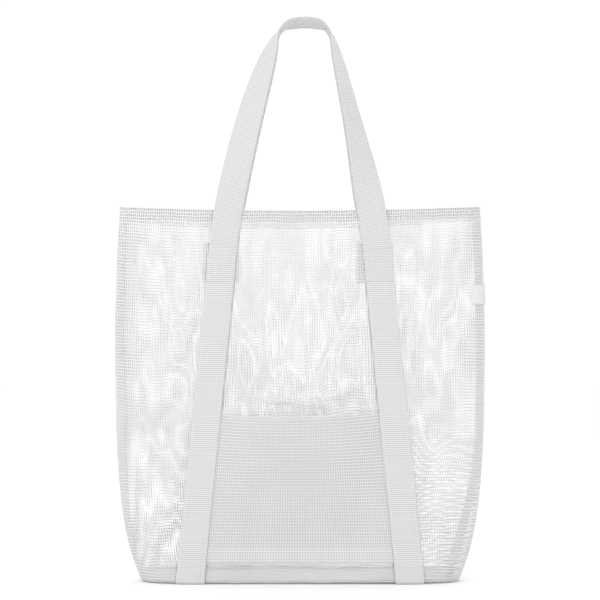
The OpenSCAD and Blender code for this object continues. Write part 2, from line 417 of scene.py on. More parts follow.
@dataclass(frozen=True)
class Knit:
    """The open knit of the mesh cloth: the pitch of its holes and its threads."""

    across: float = 0.00245
    up: float = 0.00325
    thread: float = 0.00074
    thick: float = 0.0005

    def counts(self, width: float, height: float) -> tuple[int, int]:
        """Returns how many holes fit across and up a piece of cloth."""
        return max(1, round(width / self.across)), max(1, round(height / self.up))

    def lattice(self, cols: int, rows: int) -> tuple[Array, Array]:
        """Models the flat knit: a grid whose faces are inset and opened.

        Args:
            cols: Holes across.
            rows: Holes up.

        Returns:
            The vertices' places in holes across and up, and the faces' vertex numbers.
        """
        deselect()
        bpy.ops.mesh.primitive_grid_add(x_subdivisions=cols, y_subdivisions=rows, size=1)
        cloth = bpy.context.object
        cloth.scale = (cols * self.across, rows * self.up, 1)
        bpy.ops.object.transform_apply(location=False, rotation=False, scale=True)
        bpy.ops.object.mode_set(mode="EDIT")
        bpy.ops.mesh.select_all(action="SELECT")
        bpy.ops.mesh.inset(thickness=self.thread / 2, use_individual=True, use_even_offset=True)
        bpy.ops.mesh.delete(type="ONLY_FACE")
        bpy.ops.object.mode_set(mode="OBJECT")
        quads = np.empty(len(cloth.data.loops), int)
        cloth.data.loops.foreach_get("vertex_index", quads)
        flat = points_of(cloth.data)[:, :2] / [self.across, self.up] + [cols / 2, rows / 2]
        bpy.data.objects.remove(cloth, do_unlink=True)
        return flat, quads.reshape(-1, 4)

    def cloth(
        self,
        name: str,
        cols: int,
        rows: int,
        placer: Placer,
        keep: Callable[[Array, Array, Array], Array] | None = None,
        knit: tuple[Array, Array] | None = None,
    ) -> Piece:
        """Makes a piece of mesh cloth with open holes.

        Args:
            name: The piece's name.
            cols: Holes across.
            rows: Holes up.
            placer: Gives the points for shares across and up, each from 0 to 1.
            keep: Says which holes' threads the piece has, from the holes' middles and shares.
            knit: A flat knit made before, for several pieces of one cloth.

        Returns:
            The piece, with thickness, and its flat area as the property cut_area.
        """
        flat, quads = knit or self.lattice(cols, rows)
        points = placer(flat[:, 0] / cols, flat[:, 1] / rows)
        middle = np.floor(flat[quads].mean(axis=1)) + 0.5
        centres = placer(middle[:, 0] / cols, middle[:, 1] / rows)
        mask = np.ones(len(quads), bool)
        if keep is not None:
            mask = keep(centres, middle[:, 0] / cols, middle[:, 1] / rows)
        used, quads = np.unique(quads[mask], return_inverse=True)
        uv = flat[used] * [self.across, self.up] * 100
        piece = mesh_from(name, points[used], quads.reshape(-1, 4).tolist(), uv)
        wall = piece.modifiers.new("thickness", "SOLIDIFY")
        wall.thickness = self.thick
        wall.offset = 0
        apply_modifiers(piece)
        smooth_all(piece)
        piece["cut_area"] = mask.sum() / 4 * self.across * self.up
        return piece


@dataclass(frozen=True)
class Finish:
    """A cloth or thread finish: its colour, sheen and the small relief of its yarns, and for ribbed webbing
    painted shade in its grooves.
    """

    name: str
    tint: float
    shade: float
    rough: float = 0.6
    sheen: float = 0.25
    grain: float = 900.0
    relief: float = 0.00008
    weave: tuple[float, float] | None = None
    # Grey of the painted shade in ribbed webbing's grooves, or None.
    groove_shade: float | None = None

    @staticmethod
    def _cloud(tree: Tree, where: Node, scale: float, detail: float) -> Node:
        """Adds a noise pattern on the piece's own space."""
        cloud = tree.nodes.new("ShaderNodeTexNoise")
        cloud.inputs["Scale"].default_value = scale
        cloud.inputs["Detail"].default_value = detail
        tree.links.new(where.outputs["Object"], cloud.inputs["Vector"])
        return cloud

    @staticmethod
    def _wave(tree: Tree, where: Node, pitch: float, wobble: float, detail: float) -> Node:
        """Adds bands of one pitch, in hundredths of a metre, along the piece's surface."""
        wave = tree.nodes.new("ShaderNodeTexWave")
        wave.inputs["Scale"].default_value = math.pi / 10 / pitch
        wave.inputs["Distortion"].default_value = wobble
        wave.inputs["Detail"].default_value = detail
        tree.links.new(where.outputs["UV"], wave.inputs["Vector"])
        return wave

    @staticmethod
    def _bump(tree: Tree, height: Socket, reach: float, strength: float) -> Node:
        """Adds one bump of a height."""
        bump = tree.nodes.new("ShaderNodeBump")
        bump.inputs["Distance"].default_value = reach
        bump.inputs["Strength"].default_value = strength
        tree.links.new(height, bump.inputs["Height"])
        return bump

    def material(self) -> bpy.types.Material:
        """Returns the finish's material, made once."""
        if self.name in bpy.data.materials:
            return bpy.data.materials[self.name]
        made = bpy.data.materials.new(self.name)
        made.use_nodes = True
        tree = made.node_tree
        skin = tree.nodes["Principled BSDF"]
        skin.inputs["Roughness"].default_value = self.rough
        skin.inputs["Sheen Weight"].default_value = self.sheen
        skin.inputs["Sheen Roughness"].default_value = 0.5
        where = tree.nodes.new("ShaderNodeTexCoord")
        pattern = self._cloud(tree, where, 22.0, 3.0)
        stops = [(0.35, self.shade), (0.65, self.tint)]
        # Ribbed webbing: the ramp's dark end is painted shade, in bands that fall in the grooves between the
        # ribs.
        if self.groove_shade is not None:
            stops[0] = (0.05, self.groove_shade)
            pattern = self._wave(tree, where, self.weave[0], 0.5, 2.0)
            pattern.inputs["Detail Scale"].default_value = 3.0
        ramp = tree.nodes.new("ShaderNodeValToRGB")
        for stop, (place, grey) in zip(ramp.color_ramp.elements, stops):
            stop.position, stop.color = place, (grey, grey, grey, 1.0)
        tree.links.new(pattern.outputs["Fac"], ramp.inputs["Fac"])
        tree.links.new(ramp.outputs["Color"], skin.inputs["Base Color"])
        tree.links.new(self._relief(tree, where), skin.inputs["Normal"])
        return made

    def _relief(self, tree: Tree, where: Node) -> Socket:
        """Returns the normal of the yarns: a fine grain, with a weave along the piece if it has one."""
        grain = self._cloud(tree, where, self.grain, 2.0)
        bump = self._bump(tree, grain.outputs["Fac"], self.relief, 0.5)
        for axis, pitch in zip("XY", self.weave or ()):
            wave = self._wave(tree, where, pitch, 0.6, 1.0)
            wave.bands_direction = axis
            over = self._bump(tree, wave.outputs["Fac"], self.relief * 2, 0.6)
            tree.links.new(bump.outputs["Normal"], over.inputs["Normal"])
            bump = over
        return bump.outputs["Normal"]


class Look:
    """The finishes that the bag has."""

    MESH = Finish("white_mesh_yarn", 0.84, 0.81, rough=0.55)
    POCKET = Finish("white_pocket_yarn", 0.79, 0.76, rough=0.55)
    BINDING = Finish("white_seam_yarn", 0.92, 0.89)
    # Painted shade: the pocket's inner layer is the same white cloth, darkened to stand for the shade between
    # the pocket's layers.
    POCKET_INNER = Finish("pocket_inner_yarn_painted_shade", 0.58, 0.55, rough=0.7, sheen=0.1)
    # Painted shade: the same white cloth, darkened for the lining layer that lies in shade behind the holes.
    INNER = Finish("inner_yarn_painted_shade", 0.82, 0.79, rough=0.7, sheen=0.1)
    # The webbing's groove grey is painted shade in the grooves between its ribs.
    WEBBING = Finish("white_webbing", 0.73, 0.70, rough=0.62, grain=1600, weave=(0.214, 0.12), groove_shade=0.55)
    THREAD = Finish("white_thread", 0.88, 0.84, rough=0.45, relief=0.00004)
    LABEL = Finish("white_label_satin", 0.80, 0.77, rough=0.4, relief=0.0002, weave=(0.05, 0.2))


def paint(piece: Piece, finish: Finish) -> None:
    """Gives a piece one finish."""
    piece.data.materials.clear()
    piece.data.materials.append(finish.material())


def dress(piece: Piece, finish: Finish | None, slot: str, *nodes: str, body: str | None = "bag") -> None:
    """Gives a piece its finish, its body and the CAD nodes that it stands for.

    Args:
        piece: The finished piece.
        finish: Its finish, or None if it has its finishes already.
        slot: The record's material slot, which is not used.
        nodes: The CAD nodes that it replaces.
        body: The body that it rides on, or None to leave it unattached.
    """
    if finish is not None:
        paint(piece, finish)
    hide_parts(*nodes)
    if body:
        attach(piece, body)
    LOG.info("%s: %d faces", piece.name, len(piece.data.polygons))


@dataclass(frozen=True)
class WebSize:
    """The webbing of the straps and handles, and where it runs."""

    width: float
    thick: float
    foot_x: float
    stitch_x: float
    stitch_z: float
    pocket_top: float
    patch_low: float
    patch_high: float
    rib: float = 0.00214
    low_off: float = 0.0020
    high_off: float = 0.0008
    foot_radius: float = 0.0025
    join_rise: float = 0.0005

    @classmethod
    def from_frame(cls) -> "WebSize":
        """Returns the webbing's sizes as packed."""
        low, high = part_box("right_strap")
        joint = next(j for j in frame["joints"] if j["name"] == "front_handle_flop")
        pocket_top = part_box("pocket_panel")[1][2]
        width = 0.030
        stitch_z = joint["pos_m"][2]
        patch_low, patch_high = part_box("front_left_patch")
        return cls(
            width=width,
            thick=0.0016,
            foot_x=high[0] - width / 2,
            stitch_x=low[0] + width / 2,
            stitch_z=stitch_z,
            pocket_top=pocket_top,
            patch_low=patch_low[2],
            patch_high=patch_high[2],
        )

    @property
    def bend_z(self) -> float:
        """The height at which the strap starts to turn under the bag."""
        return self.thick + self.foot_radius

    @property
    def join_z(self) -> float:
        """The height at which the strap's piece ends and the handle's begins."""
        return self.patch_low + self.join_rise

    def x(self, z: Array | float) -> Array | float:
        """Returns the x of the right-hand strap's middle at height z."""
        return self.foot_x - (self.foot_x - self.stitch_x) * z / self.stitch_z

    def off(self, z: Array | float) -> Array | float:
        """Returns how far the strap's inner face stands off the middle of the cloth."""
        return self.low_off + (self.high_off - self.low_off) * smooth((z - self.pocket_top - 0.006) / 0.030)


@dataclass
class Webbing:
    """Flat ribbed webbing with rounded edges, made ring by ring along a route."""

    size: WebSize
    ridge: float = 0.00017
    scallop: float = 0.00012

    def profile(self) -> tuple[Array, Array]:
        """Returns the ring's places across, from -1 to 1, and through, from 0 inside to 1 outside."""
        half = [(0.985, 0.82), (0.945, 0.98), (0.5, 1.0)]
        top = [*half, (0.0, 1.0), *[(-k, t) for k, t in reversed(half)]]
        ring = [(1.0, 0.5), *top, (-1.0, 0.5), *[(k, 1 - t) for k, t in reversed(top)]]
        across, through = np.array(ring).T
        return across, through

    def body(self, name: str, at: Callable[[Array, Array, Array], Array], length: float) -> Piece:
        """Makes the webbing of one route.

        Args:
            name: The piece's name.
            at: Gives points from the run along the route, the place across from -1 to 1 and the
                distance through from the inner face.
            length: How long the route is.

        Returns:
            The piece, closed at both ends.
        """
        rings = 2 * round(length / self.size.rib) + 1
        across, through = self.profile()
        run = np.linspace(0.0, length, rings)[:, None]
        side = np.where(np.arange(rings) % 2, 1.0, -1.0)[:, None]
        edge = np.where(np.abs(across) > 0.99, across, 0)
        k = across[None, :] + side * self.scallop / (self.size.width / 2) * edge
        t = through[None, :] * self.size.thick + side * self.ridge * np.clip((through - 0.5) * 2, -1, 1)
        points = at(np.broadcast_to(run, k.shape), k, np.broadcast_to(t, k.shape))
        n = len(across)
        order = np.arange(rings * n).reshape(rings, n)
        a, b = order[:-1], order[1:]
        quads = np.stack([a, np.roll(a, -1, 1), np.roll(b, -1, 1), b], axis=-1).reshape(-1, 4)
        faces = quads.tolist() + [order[0][::-1].tolist(), order[-1].tolist()]
        uv = np.stack([np.broadcast_to(run * 100, k.shape), k * self.size.width * 50], axis=-1).reshape(-1, 2)
        piece = mesh_from(name, points.reshape(-1, 3), faces, uv)
        face_outwards(piece)
        smooth_all(piece)
        for cap in (-2, -1):
            piece.data.polygons[cap].use_smooth = False
        return piece


@dataclass
class StrapRoute:
    """One strap's route: down the front, under the bag and up the back."""

    form: BagForm
    size: WebSize
    side: Side

    def face(self, z: Array, k: Array, t: Array) -> Array:
        """Returns points of the strap on the front face, k from outer -1 to inner 1 edge."""
        half = self.size.width / 2
        x = self.size.x(z) - k * half
        points = self.form.skin(self.form.u_at(x, z), z, self.size.off(z) + t)
        return points * [self.side.value, 1, 1]

    def foot(self, turn: Array, k: Array, t: Array) -> Array:
        """Returns points where the strap turns under the front edge, turn in radians."""
        z = np.full(np.shape(turn), self.size.bend_z)
        start = self.face(z, k, np.zeros_like(z))
        radius = self.size.foot_radius
        y = start[..., 1] + radius - (radius + t) * np.cos(turn)
        return np.stack([start[..., 0], y, z - (radius + t) * np.sin(turn)], axis=-1)

    @property
    def drop(self) -> float:
        """How far the strap runs down one face."""
        return self.size.join_z - self.size.bend_z

    @property
    def curl(self) -> float:
        """How far the strap runs round one bottom edge."""
        return math.pi / 2 * (self.size.foot_radius + self.size.thick / 2)

    @property
    def under(self) -> float:
        """How far the strap runs flat under the bag."""
        edge = self.foot(np.array(math.pi / 2), np.array(0.0), np.array(0.0))
        return -2 * float(edge[1])

    @property
    def length(self) -> float:
        """The length of the whole strap."""
        return 2 * (self.drop + self.curl) + self.under

    def at(self, run: Array, k: Array, t: Array) -> Array:
        """Returns points along the whole strap, from the front top to the back top."""
        back = run > self.length / 2
        near = np.where(back, self.length - run, run)
        down = self.face(self.size.join_z - np.minimum(near, self.drop), k, t)
        turn = np.clip((near - self.drop) / self.curl, 0, 1) * math.pi / 2
        bent = self.foot(turn, k, t)
        flat = bent.copy()
        flat[..., 1] = bent[..., 1] + (near - self.drop - self.curl)
        points = np.where((near < self.drop)[..., None], down, bent)
        points = np.where((near > self.drop + self.curl)[..., None], flat, points)
        points[..., 1] = np.where(back, -points[..., 1], points[..., 1])
        return points


@dataclass
class HandleRoute:
    """One handle's route: up one leg, over the arch and down the other leg."""

    form: BagForm
    size: WebSize
    arch_y: float
    top: float
    lean: float
    swing_gap: float = 0.0015
    turn_z: float = 0.400
    pinch_z: float = 0.587
    knee: tuple[float, float] = (0.0315, 0.577)
    crown_drop: float = 0.005
    crown_tilt: float = math.radians(15.5)
    stand_off: float = 0.0019
    hem_pull: tuple[float, float] = (0.0045, 0.003)
    leg_pull: tuple[float, float] = (0.0545, 0.505)
    shoulder: tuple[float, float] = (0.0285, 0.588)
    crown_pull: float = 0.020
    points: Array = field(init=False)
    run: Array = field(init=False)
    face: Array = field(init=False)
    across: Array = field(init=False)

    def __post_init__(self) -> None:
        """Lays out the route and the webbing's turn along it."""
        size = self.size
        z = np.linspace(size.join_z, size.stitch_z + self.swing_gap, 30)[:-1]
        low = np.stack([size.x(z), z], axis=-1)
        start = (size.stitch_x, size.stitch_z + self.swing_gap)
        crown = self.top - self.crown_drop
        past_hem = (size.stitch_x - self.hem_pull[0], self.form.height + self.hem_pull[1])
        leg = self._curve((start, past_hem, self.leg_pull, self.knee), 160)
        arch = self._curve((self.knee, self.shoulder, (self.crown_pull, crown), (0.0, crown)), 120)
        half = np.concatenate([low, leg, arch[1:]])
        route = np.concatenate([self._lift(half, -1), self._lift(half, 1)[-2::-1]])
        step = np.linalg.norm(np.diff(route, axis=0), axis=1)
        run = np.concatenate([[0.0], np.cumsum(step)])
        self.run = np.linspace(0.0, run[-1], 1200)
        self.points = np.stack([np.interp(self.run, run, route[:, i]) for i in range(3)], axis=-1)
        along = unit(np.gradient(self.points, axis=0))
        turn = self._turn(self.points[:, 2], self.run < run[-1] / 2)
        inward = unit(np.stack([along[:, 2], np.zeros(len(along)), -along[:, 0]], axis=-1))
        forward = np.stack([np.zeros(len(along)), -np.sin(turn), np.zeros(len(along))], axis=-1)
        self.across = inward * np.cos(turn)[:, None] + forward
        self.face = unit(np.cross(self.across, along))

    def _turn(self, z: Array, left: Array) -> Array:
        """Returns the webbing's turn: a slow twist up the left leg, an early one up the right."""
        rise = np.clip((z - self.turn_z) / (self.pinch_z - self.turn_z), 0, 1)
        slow = 0.62 * rise + 0.38 * rise**8
        early = 0.72 * (1 - (1 - rise) ** 2.5) + 0.28 * rise**8
        over = smooth((z - self.pinch_z) / (self.top - self.crown_drop - self.pinch_z))
        return math.pi / 2 * np.where(left, slow, early) + self.crown_tilt * over

    @staticmethod
    def _curve(pulls: tuple, steps: int) -> Array:
        """Returns points of a cubic curve from the first of four places to the last."""
        t = np.linspace(0, 1, steps)[:, None]
        a, b, c, d = (np.array(pull) for pull in pulls)
        return (1 - t) ** 3 * a + 3 * t * (1 - t) ** 2 * b + 3 * t * t * (1 - t) * c + t**3 * d

    def _depth(self, z: Array) -> Array:
        """Returns the route's y at height z."""
        form, size = self.form, self.size
        root = form.section(form.u_at(size.stitch_x, size.stitch_z), size.stitch_z)[1]
        hem = form.section(form.u_at(size.stitch_x - 0.006, form.height), form.height)[1]
        low = root + (hem - root) * (z - size.stitch_z) / (form.height - size.stitch_z)
        rise = smooth((z - form.height) / (self.top - form.height))
        high = hem + (-self.arch_y - hem + self.stand_off) * rise
        return np.where(z < form.height, low, high) - self.stand_off

    def _lift(self, flat: Array, side: int) -> Array:
        """Returns points in space for points across and up, on one side."""
        rise = (flat[:, 1] - self.size.stitch_z) / (self.top - self.size.stitch_z)
        x = side * flat[:, 0] + self.lean * rise**3
        return np.stack([x, self._depth(flat[:, 1]), flat[:, 1]], axis=-1)

    @property
    def length(self) -> float:
        """The length of the whole handle."""
        return float(self.run[-1])

    def at(self, run: Array, k: Array, t: Array) -> Array:
        """Returns points along the handle, which leaves each strap's top without a step."""
        centre, across, face = (
            np.stack([np.interp(run, self.run, track[:, i]) for i in range(3)], axis=-1)
            for track in (self.points, self.across, self.face)
        )
        across, face = unit(across), unit(face)
        half = self.size.width / 2
        free = centre + across * (k * half)[..., None] + face * (t - self.size.thick / 2)[..., None]
        left = (run < self.length / 2)[..., None]
        z = np.minimum(centre[..., 2], self.form.height)
        on_left = StrapRoute(self.form, self.size, Side.LEFT).face(z, k, t)
        on_right = StrapRoute(self.form, self.size, Side.RIGHT).face(z, k, t)
        bound = np.where(left, on_left, on_right)
        mix = smooth((centre[..., 2] - self.size.stitch_z + 0.010) / 0.030)[..., None]
        return bound * (1 - mix) + free * mix


@dataclass
class Stitcher:
    """Rows of small thread stitches, copied from one modelled stitch."""

    length: float = 0.0026
    pitch: float = 0.0034
    wide: float = 0.00055
    model: Array = field(init=False)
    quads: list = field(init=False)

    def __post_init__(self) -> None:
        """Models the one stitch: a drawn-out ball."""
        deselect()
        bpy.ops.mesh.primitive_uv_sphere_add(segments=6, ring_count=4, radius=0.5)
        ball = bpy.context.object
        ball.rotation_euler = (0, math.pi / 2, 0)
        bpy.ops.object.transform_apply(location=False, rotation=True, scale=False)
        ball.scale = (self.length, self.wide, self.wide * 0.8)
        bpy.ops.object.transform_apply(location=False, rotation=False, scale=True)
        self.model = points_of(ball.data)
        self.quads = [list(p.vertices) for p in ball.data.polygons]
        bpy.data.objects.remove(ball, do_unlink=True)

    def row(self, line: Array, face: Array) -> tuple[Array, Array, Array]:
        """Spaces stitches along a line.

        Args:
            line: Points along the row.
            face: The direction out of the cloth at each point.

        Returns:
            The stitches' middles, directions and faces.
        """
        run = np.concatenate([[0.0], np.cumsum(np.linalg.norm(np.diff(line, axis=0), axis=1))])
        count = max(1, int(run[-1] / self.pitch))
        spots = (np.arange(count) + 0.5) * run[-1] / count
        middle, ahead, behind, out = (
            np.stack([np.interp(spots + step, run, track[:, i]) for i in range(3)], axis=-1)
            for step, track in ((0, line), (0.0005, line), (-0.0005, line), (0, face))
        )
        return middle, unit(ahead - behind), unit(out)

    def sew(self, name: str, rows: list[tuple[Array, Array]]) -> Piece:
        """Makes one piece of all the rows' stitches."""
        points, faces = [], []
        for line, face in rows:
            for middle, along, out in zip(*self.row(line, face)):
                side = unit(np.cross(out, along))
                turn = np.stack([along, side, np.cross(along, side)])
                base = len(points) * len(self.model)
                points.append(self.model @ turn + middle)
                faces += [[v + base for v in quad] for quad in self.quads]
        piece = mesh_from(name, np.concatenate(points), faces)
        smooth_all(piece)
        return piece


@dataclass
class MeshBody:
    """The bag's mesh: front and back panels, base, side seams and bottom seams."""

    form: BagForm
    size: WebSize
    knit: Knit
    front: Panel
    back: Panel
    side_band: float = 0.0125
    base_band: tuple[float, float] = (0.0135, 0.0095)
    hem: float = 0.0145
    lining: tuple[float, float] = (-0.00100, -0.00155)
    shifts: tuple[tuple[float, float], ...] = ((0.04, 0.02), (0.5, 0.5))
    split_drop: float = 0.008
    bottom: float = 0.0022
    seam_shares: tuple[float, float] = (0.0005, 0.9995)
    dense: Knit = Knit(thread=0.00122)
    knits: dict = field(default_factory=dict)

    def pins(self, face: Face) -> Callable[[Array, Array], Array]:
        """Returns what holds a panel: straps, seams, hem and, in front, the pocket."""

        def held(points: Array, z: Array) -> Array:
            """Returns 1 where a point is held and 0 where it is free."""
            x = np.abs(points[..., 0])
            near = np.abs(x - self.size.x(z)) - self.size.width / 2
            strap = 1 - smooth((near - 0.001) / 0.010)
            bottom = 1 - smooth((z - 0.020) / 0.022)
            top = smooth((z - (self.form.height - self.hem - 0.016)) / 0.014)
            edge = 1 - smooth((self.form.half_width(z) - x - self.side_band - 0.001) / 0.014)
            hold = np.maximum.reduce([strap, bottom, top, edge])
            if face is Face.FRONT:
                above = smooth((z - self.size.pocket_top - 0.001) / 0.012)
                behind = (x < self.size.x(z)) * (1 - above)
                hold = np.maximum(hold, behind)
            return hold

        return held

    def build(self) -> dict[str, Piece]:
        """Makes the mesh body's pieces, by name."""
        made = {}
        for panel in (self.front, self.back):
            panel.settle(self.pins(panel.face))
            made.update(self._panel(panel))
        made["base"] = self._base()
        for panel in (self.front, self.back):
            made[f"{panel.face.value}_base_seam"] = self._base_seam(panel)
        for side in Side:
            made[f"{side.word}_side_seam"] = self._side_seam(side)
        return made

    def layer(
        self, name: str, panel: Panel, keep: Callable, off: float = 0.0, shift: tuple[float, float] | None = None
    ) -> Piece:
        """Makes a layer of a panel's own knit.

        Args:
            name: The piece's name.
            panel: The panel whose knit it is.
            keep: Says which holes' threads it has.
            off: How far it lies outside the panel.
            shift: How far a lining is moved across and up, in holes, or None for the panel itself.

        Returns:
            The layer.
        """
        knit = self.knit if shift is None else self.dense
        shift = shift or (0.0, 0.0)
        if (panel.face, knit) not in self.knits:
            cols, rows = knit.counts(float(panel.girth.mean()), self.form.height - self.bottom)
            self.knits[panel.face, knit] = (cols, rows, knit.lattice(cols, rows))
        cols, rows, flat = self.knits[panel.face, knit]

        def placer(across: Array, up: Array) -> Array:
            """Returns the layer's points on the settled panel."""
            share = np.clip(across + shift[0] / cols, *self.seam_shares)
            z = self.bottom + (self.form.height - self.bottom) * np.clip(up + shift[1] / rows, 0, 1)
            return panel.place(share, z, off)

        return knit.cloth(name, cols, rows, placer, keep, flat)

    def lined(self, name: str, panel: Panel, keep: Callable, inner: Finish = Look.INNER) -> Piece:
        """Makes two layers inside a panel as one piece: one in line with its holes, one between them."""
        layers = [
            self.layer(f"{name}_{index}", panel, keep, off, shift)
            for index, (off, shift) in enumerate(zip(self.lining, self.shifts))
        ]
        # The layer between the holes takes the inner finish, by default a darker copy of the cloth with painted
        # shade.
        for layer, finish in zip(layers, (Look.BINDING, inner)):
            paint(layer, finish)
        area = sum(layer["cut_area"] for layer in layers)
        deselect()
        for layer in layers:
            layer.select_set(True)
        bpy.context.view_layer.objects.active = layers[0]
        bpy.ops.object.join()
        layers[0].name = name
        layers[0]["cut_area"] = area
        return layers[0]

    def _panel(self, panel: Panel) -> dict[str, Piece]:
        """Makes one panel as four cuts of one cloth, which meet under the straps and the pocket's top."""
        bottom, top = self.bottom, self.form.height
        split = self.size.pocket_top - self.split_drop
        zones = {
            "left_bay": lambda p, x, y: p[:, 0] < -self.size.x(p[:, 2]),
            "right_bay": lambda p, x, y: p[:, 0] >= self.size.x(p[:, 2]),
            "upper": lambda p, x, y: (np.abs(p[:, 0]) < self.size.x(p[:, 2])) & (p[:, 2] >= split),
            "lower": lambda p, x, y: (np.abs(p[:, 0]) < self.size.x(p[:, 2])) & (p[:, 2] < split),
        }
        made = {}
        face = panel.face.value
        for zone, keep in zones.items():
            name = f"{face}_{zone}_mesh"
            piece = self.layer(name, panel, keep)
            dress(piece, Look.MESH, "mesh_cloth", f"{face}_panel")
            tall = {"upper": top - split, "lower": split - bottom}.get(zone, top - bottom)
            self.declare(piece, tall, "hung", ("left_strap_webbing", "right_strap_webbing"))
            made[f"{face}_{zone}"] = piece
        return made

    @staticmethod
    def declare(
        piece: Piece, tall: float, held: str, on: tuple[str, ...], *trims: Piece
    ) -> None:
        """Does nothing: the piece and its trims are left as they are."""

    def _base(self) -> Piece:
        """Makes the flat base, cut to the bag's outline."""
        low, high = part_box("base_panel")
        wide, deep = high[0] - low[0], high[1] - low[1]
        cols, rows = round(wide / self.knit.across), round(deep / self.knit.up)
        level = (low[2] + high[2]) / 2

        def reach(x: Array, inset: float) -> Array:
            """Returns how far the base reaches to the front and back at x."""
            return np.abs(self.form.section(self.form.u_at(x, level), level)[:, 1]) - inset

        def placer(across: Array, up: Array) -> Array:
            """Returns the base's points, kept inside the outline."""
            x, y = (across - 0.5) * wide, (up - 0.5) * deep
            limit = reach(x, 0.0006)
            return np.stack([x, np.clip(y, -limit, limit), np.full(len(x), level)], axis=-1)

        def inside(p: Array, across: Array, up: Array) -> Array:
            """Returns which holes' threads lie inside the outline."""
            return np.abs(p[:, 1]) < reach(p[:, 0], 0.0008)

        piece = self.knit.cloth("base_mesh", cols, rows, placer, inside)
        dress(piece, Look.MESH, "mesh_cloth", "base_panel")
        self.declare(piece, deep, "stretched", ("left_strap_webbing", "right_strap_webbing"))
        return piece

    def _base_seam(self, panel: Panel) -> Piece:
        """Makes one folded seam allowance along the bottom, inside the panel."""
        name = f"{panel.face.value}_base_seam"
        tall = self.base_band[0 if panel.face is Face.FRONT else 1]
        low, high = self.bottom + 0.0005, self.bottom + tall
        share_in = 0.012
        piece = self.lined(
            name,
            panel,
            lambda p, x, y: (p[:, 2] > low) & (p[:, 2] < high) & (np.abs(x - 0.5) < 0.5 - share_in),
            inner=Look.BINDING,
        )
        dress(piece, None, "seam_binding", f"{panel.face.value}_base_binding")
        self.declare(piece, (high - low) * 2, "folded", (f"{panel.face.value}_lower_mesh",))
        return piece

    def _side_seam(self, side: Side) -> Piece:
        """Makes one folded seam allowance up a side, pressed on to the front."""
        low, high = self.bottom + self.base_band[0], self.form.height - self.hem
        share = self.side_band / float(self.front.girth.mean())
        name = f"{side.word}_side_seam"

        def keep(p: Array, across: Array, up: Array) -> Array:
            """Returns which holes' threads lie in the seam."""
            near = across if side is Side.LEFT else 1 - across
            return (near < share) & (near > 0.002) & (p[:, 2] > low) & (p[:, 2] < high)

        # The lining's layer between the holes has the default inner finish, with painted shade.
        piece = self.lined(name, self.front, keep)
        dress(piece, None, "seam_binding", f"{side.word}_side_binding")
        self.declare(piece, high - low, "folded", (f"front_{side.word}_bay_mesh",))
        return piece


@dataclass
class TopHem:
    """The mouth's hem on one panel: the cloth turned over inwards, doubled and sewn down."""

    body: MeshBody
    panel: Panel
    stitcher: Stitcher
    fold: float = 0.0005
    turned_off: float = -0.0016
    row_rise: float = 0.0019
    row_offs: tuple[float, float] = (0.0004, -0.00195)

    def build(self) -> list[Piece]:
        """Makes the hem and its row of stitches."""
        form, hem, knit = self.panel.form, self.body.hem, self.body.dense
        cols, panel_rows, _ = self.body.knits[self.panel.face, knit]
        pitch = (form.height - self.body.bottom) / panel_rows
        rows = 1 + round(hem / pitch)
        length = rows * pitch

        def placer(across: Array, up: Array) -> Array:
            """Returns points over the fold and down behind the panel."""
            row = up * rows
            angle = np.clip(row, 0, 1) * math.pi
            off = -self.fold * (1 - np.cos(angle))
            z = form.height + self.fold * np.sin(angle) * 0.8 - np.clip(row - 1, 0, None) * pitch
            share = np.clip(across + 0.04 * smooth(row - 0.5) / cols, *self.body.seam_shares)
            return self.panel.place(share, z, off)

        face = self.panel.face.value
        lined = (f"{face}_left_bay_mesh", f"{face}_upper_mesh", f"{face}_right_bay_mesh")
        fold = knit.cloth(f"{face}_top_hem_fold", cols, rows, placer)
        dress(fold, Look.BINDING, "seam_binding", f"{face}_top_hem")
        self.body.declare(fold, length, "folded", lined)
        tall = form.height - self.body.bottom
        edge = form.height - (rows - 1) * pitch - self.body.bottom
        name, shift = f"{face}_top_hem_turned", self.body.shifts[1]
        turned = self.body.layer(name, self.panel, lambda p, x, y: y * tall > edge, self.turned_off, shift)
        dress(turned, Look.BINDING, "seam_binding", f"{face}_top_hem")
        self.body.declare(turned, length - pitch, "folded", lined)
        z = np.full(400, form.height - hem + self.row_rise)
        share = np.linspace(0.012, 0.988, 400)
        rows = []
        for off, sign in zip(self.row_offs, (1.0, -1.0)):
            line = self.panel.place(share, z, off)
            away = self.panel.place(share, z, off + 0.001)
            rows.append((line, unit(away - line) * sign))
        thread = self.stitcher.sew(f"{face}_hem_thread", rows)
        dress(thread, Look.THREAD, "thread", f"{face}_hem_stitching")
        return [fold, turned, thread]


